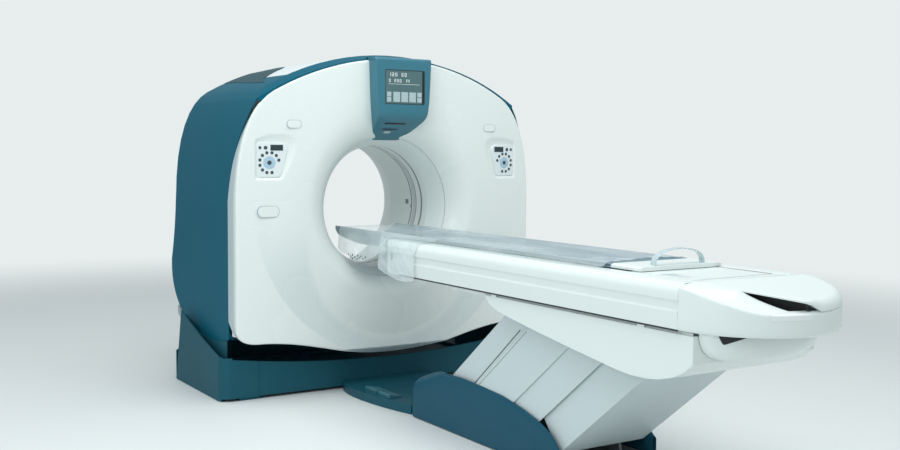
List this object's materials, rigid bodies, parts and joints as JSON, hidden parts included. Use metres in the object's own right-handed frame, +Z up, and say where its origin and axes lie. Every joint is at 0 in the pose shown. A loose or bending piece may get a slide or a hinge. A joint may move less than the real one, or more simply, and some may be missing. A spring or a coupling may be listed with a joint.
{
  "type": "ct scanner",
  "caption": "Computed tomography scanner with a tilting ring gantry on a low base, a rotor inside it, and a patient table on a parallelogram lift whose cradle slides into the bore.",
  "frame": {"origin": "On the floor under the centre of the bore, in the middle of the gantry's anchor holes.", "axes": "+Z is up. +Y runs along the bore, from the table through the gantry to its rear. +X is to the right for someone who faces the gantry from the table."},
  "size_m": [1.996, 4.0102, 1.892],
  "materials": {
    "white_plastic": "smooth moulded",
    "grey_plastic": "fine grained",
    "teal_plastic": "smooth moulded",
    "teal_plastic_dark": "fine grained",
    "black_plastic": "smooth",
    "screen_glass": "polished",
    "steel": "satin paint",
    "grey_metal": "satin paint",
    "machined_steel": "ground",
    "cast_alloy": "machined casting",
    "ring_brass": "turned",
    "belt_rubber": "moulded",
    "cradle_shell": "lacquered composite",
    "clear_plastic": "polished, slightly clear",
    "vinyl": "thin clear sheet"
  },
  "bodies": {
    "base": {"gantry_base_frame": "steel", "base_front_cover": "teal_plastic_dark", "base_left_cover": "teal_plastic_dark", "base_right_cover": "teal_plastic_dark", "base_rear_cover": "teal_plastic_dark", "table_base_frame": "steel", "table_base_cover": "teal_plastic", "lower_shafts": "machined_steel", "lift_gearmotor": "steel", "footswitch_plate": "teal_plastic"},
    "tilting_gantry": {"tilt_frame": "steel", "front_cover": "white_plastic", "rear_cover": "white_plastic", "left_side_cover": "teal_plastic", "right_side_cover": "teal_plastic", "top_cover": "white_plastic", "top_band": "teal_plastic", "console_housing": "teal_plastic", "console_screen": "screen_glass", "left_keypad": "grey_plastic", "right_keypad": "grey_plastic", "cover_caps": "white_plastic", "front_liner": "grey_plastic", "scan_window": "black_plastic", "rear_liner": "grey_plastic", "bearing_ring": "machined_steel", "drive_motor": "steel", "drive_belt": "belt_rubber"},
    "rotor": {"rotor_drum": "cast_alloy", "xray_tube": "steel", "collimator": "black_plastic", "detector_arc": "steel", "generator": "grey_metal", "slip_ring": "ring_brass"},
    "drive_pulley": {"motor_pulley": "machined_steel"},
    "left_raise_pedal": {"left_raise_pedal": "teal_plastic_dark"},
    "left_lower_pedal": {"left_lower_pedal": "teal_plastic_dark"},
    "right_raise_pedal": {"right_raise_pedal": "teal_plastic_dark"},
    "right_lower_pedal": {"right_lower_pedal": "teal_plastic_dark"},
    "front_lift_arm": {"front_arm": "steel", "front_leg_cover": "white_plastic"},
    "rear_lift_arm": {"rear_arm": "steel", "rear_leg_cover": "white_plastic"},
    "front_middle_panels": {"middle_front_panels": "white_plastic"},
    "rear_middle_panels": {"middle_rear_panels": "white_plastic"},
    "table_top": {"table_frame": "steel", "left_side_panel": "white_plastic", "right_side_panel": "white_plastic", "front_end_cap": "white_plastic", "belly_cover": "white_plastic", "tail_cover": "white_plastic", "tail_chin": "white_plastic", "upper_shafts": "machined_steel", "slide_rails": "machined_steel", "rear_deck": "white_plastic", "end_latch": "grey_plastic"},
    "sliding_cradle": {"cradle": "cradle_shell", "cradle_end": "white_plastic", "hoop_handle": "clear_plastic", "vinyl_sheet": "vinyl"}
  },
  "joints": [
    {"name": "gantry_tilt", "type": "hinge", "parent": "base", "child": "tilting_gantry", "pos_m": [0, 0, 1.03], "axis": [-1, 0, 0], "range_deg": [-30, 17]},
    {"name": "rotor_spin", "type": "hinge", "parent": "tilting_gantry", "child": "rotor", "pos_m": [0, 0.1, 1.03], "axis": [0, 1, 0], "continuous": true},
    {"name": "pulley_spin", "type": "hinge", "parent": "tilting_gantry", "child": "drive_pulley", "pos_m": [0.523, 0.06, 0.507], "axis": [0, 1, 0], "continuous": true},
    {"name": "lift", "type": "hinge", "parent": "base", "child": "front_lift_arm", "pos_m": [0, -1.534, 0.17], "axis": [-1, 0, 0], "range_deg": [-8.8, 7.4]},
    {"name": "rear_arm_swing", "type": "hinge", "parent": "base", "child": "rear_lift_arm", "pos_m": [0, -2.263, 0.12], "axis": [-1, 0, 0], "range_deg": [-8.8, 7.4]},
    {"name": "front_panels_swing", "type": "hinge", "parent": "base", "child": "front_middle_panels", "pos_m": [0, -1.777, 0.15333], "axis": [-1, 0, 0], "range_deg": [-8.8, 7.4]},
    {"name": "rear_panels_swing", "type": "hinge", "parent": "base", "child": "rear_middle_panels", "pos_m": [0, -2.02, 0.13667], "axis": [-1, 0, 0], "range_deg": [-8.8, 7.4]},
    {"name": "table_level", "type": "hinge", "parent": "front_lift_arm", "child": "table_top", "pos_m": [0, -2.17126, 0.68604], "axis": [-1, 0, 0], "range_deg": [-7.4, 8.8]},
    {"name": "cradle_slide", "type": "slide", "parent": "table_top", "child": "sliding_cradle", "axis": [0, 1, 0], "range_m": [-0.27, 1.05]},
    {"name": "left_raise_press", "type": "hinge", "parent": "base", "child": "left_raise_pedal", "pos_m": [-0.206, -0.76, 0.035], "axis": [0, -1, 0], "range_deg": [0, 4], "stiffness_Nm_per_rad": 60, "springref_deg": -143.24},
    {"name": "left_lower_press", "type": "hinge", "parent": "base", "child": "left_lower_pedal", "pos_m": [-0.206, -0.905, 0.035], "axis": [0, -1, 0], "range_deg": [0, 4], "stiffness_Nm_per_rad": 60, "springref_deg": -143.24},
    {"name": "right_raise_press", "type": "hinge", "parent": "base", "child": "right_raise_pedal", "pos_m": [0.206, -0.76, 0.035], "axis": [0, 1, 0], "range_deg": [0, 4], "stiffness_Nm_per_rad": 60, "springref_deg": -143.24},
    {"name": "right_lower_press", "type": "hinge", "parent": "base", "child": "right_lower_pedal", "pos_m": [0.206, -0.905, 0.035], "axis": [0, 1, 0], "range_deg": [0, 4], "stiffness_Nm_per_rad": 60, "springref_deg": -143.24}
  ],
  "couplings": [
    {"joint": "pulley_spin", "follows": "rotor_spin", "ratio": 14.089},
    {"joint": "rear_arm_swing", "follows": "lift", "ratio": 1},
    {"joint": "front_panels_swing", "follows": "lift", "ratio": 1},
    {"joint": "rear_panels_swing", "follows": "lift", "ratio": 1},
    {"joint": "table_level", "follows": "lift", "ratio": -1}
  ]
}
